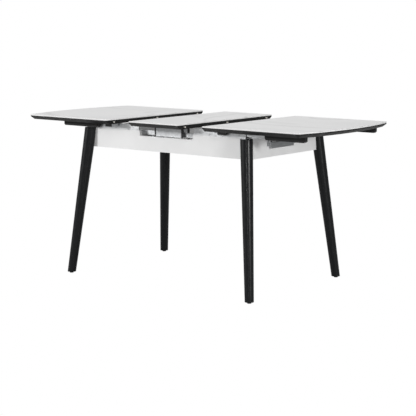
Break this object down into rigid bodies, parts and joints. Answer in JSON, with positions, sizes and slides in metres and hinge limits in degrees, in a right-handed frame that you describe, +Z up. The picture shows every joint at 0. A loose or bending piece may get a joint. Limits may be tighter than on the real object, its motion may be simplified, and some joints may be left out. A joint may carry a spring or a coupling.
{
  "type": "extendable dining table",
  "caption": "Extendable dining table with two sliding half tops, a drop-in centre leaf, pale aprons and splayed black legs.",
  "frame": {"origin": "centre of the footprint on the floor", "axes": "+X along the table towards the handle end, +Y to the rear, +Z up"},
  "size_m": [1.658, 0.7306, 0.75],
  "materials": {
    "stone_slab": "satin",
    "black_board": "satin",
    "black_leg": "satin",
    "white_apron": "satin",
    "rail_aluminium": "satin",
    "zinc_steel": "satin",
    "black_steel": "satin",
    "black_plastic": "matte",
    "handle_grey": "satin",
    "pale_dowel": "matte"
  },
  "bodies": {
    "frame": {"corner_brackets": "zinc_steel", "foot_glides": "black_plastic", "front_apron": "white_apron", "guide_sleeves": "black_plastic", "handle_brackets": "handle_grey", "left_cross_channel": "zinc_steel", "left_end_apron": "white_apron", "left_front_fixed_rail": "rail_aluminium", "left_front_leg": "black_leg", "left_rear_fixed_rail": "rail_aluminium", "left_rear_leg": "black_leg", "leg_bolts": "zinc_steel", "pinion_axle": "zinc_steel", "pinion_bridge": "zinc_steel", "rear_apron": "white_apron", "right_cross_channel": "zinc_steel", "right_end_apron": "white_apron", "right_front_fixed_rail": "rail_aluminium", "right_front_leg": "black_leg", "right_rear_fixed_rail": "rail_aluminium", "right_rear_leg": "black_leg"},
    "left_carriage": {"left_front_middle_rail": "rail_aluminium", "left_front_ramp_plate": "zinc_steel", "left_rack": "zinc_steel", "left_rear_middle_rail": "rail_aluminium", "left_rear_ramp_plate": "zinc_steel", "left_tie_bar": "zinc_steel"},
    "right_carriage": {"right_front_middle_rail": "rail_aluminium", "right_front_ramp_plate": "zinc_steel", "right_rack": "zinc_steel", "right_rear_middle_rail": "rail_aluminium", "right_rear_ramp_plate": "zinc_steel", "right_tie_bar": "zinc_steel"},
    "left_top": {"left_bumpers": "black_plastic", "left_catch_plates": "zinc_steel", "left_front_batten": "black_board", "left_front_top_rail": "rail_aluminium", "left_rear_batten": "black_board", "left_rear_top_rail": "rail_aluminium", "left_top_board": "black_board", "left_top_dowels": "pale_dowel", "left_top_slab": "stone_slab"},
    "right_top": {"right_bumpers": "black_plastic", "right_catch_plates": "zinc_steel", "right_front_batten": "black_board", "right_front_top_rail": "rail_aluminium", "right_rear_batten": "black_board", "right_rear_top_rail": "rail_aluminium", "right_top_board": "black_board", "right_top_slab": "stone_slab"},
    "leaf": {"leaf_board": "black_board", "leaf_dowels": "pale_dowel", "leaf_followers": "black_plastic", "leaf_front_beam": "zinc_steel", "leaf_guide_posts": "black_steel", "leaf_rear_beam": "zinc_steel", "leaf_skirt_panels": "zinc_steel", "leaf_slab": "stone_slab"},
    "pinion": {"sync_pinion": "black_plastic"},
    "handle": {"latch_handle": "handle_grey"}
  },
  "joints": [
    {"name": "left_carriage_slide", "type": "slide", "parent": "frame", "child": "left_carriage", "axis": [1, 0, 0], "range_m": [0, 0.143]},
    {"name": "right_carriage_slide", "type": "slide", "parent": "frame", "child": "right_carriage", "axis": [-1, 0, 0], "range_m": [0, 0.143]},
    {"name": "leaf_lift", "type": "slide", "parent": "frame", "child": "leaf", "axis": [0, 0, -1], "range_m": [0, 0.049]},
    {"name": "pinion_spin", "type": "hinge", "parent": "frame", "child": "pinion", "pos_m": [0, 0, 0.634], "axis": [0, 0, 1], "range_deg": [0, 409.8]},
    {"name": "left_top_slide", "type": "slide", "parent": "left_carriage", "child": "left_top", "axis": [1, 0, 0], "range_m": [0, 0.1377]},
    {"name": "right_top_slide", "type": "slide", "parent": "right_carriage", "child": "right_top", "axis": [-1, 0, 0], "range_m": [0, 0.1377]},
    {"name": "handle_hinge", "type": "hinge", "parent": "frame", "child": "handle", "pos_m": [0.483, -0.04, 0.67], "axis": [0, -1, 0], "range_deg": [0, 25], "stiffness_Nm_per_rad": 0.4}
  ],
  "couplings": [
    {"joint": "right_carriage_slide", "follows": "left_carriage_slide", "ratio": 1},
    {"joint": "leaf_lift", "follows": "left_carriage_slide", "ratio": 0.34265},
    {"joint": "pinion_spin", "follows": "left_carriage_slide", "rad_per_m": 50},
    {"joint": "right_top_slide", "follows": "left_top_slide", "ratio": 1}
  ]
}
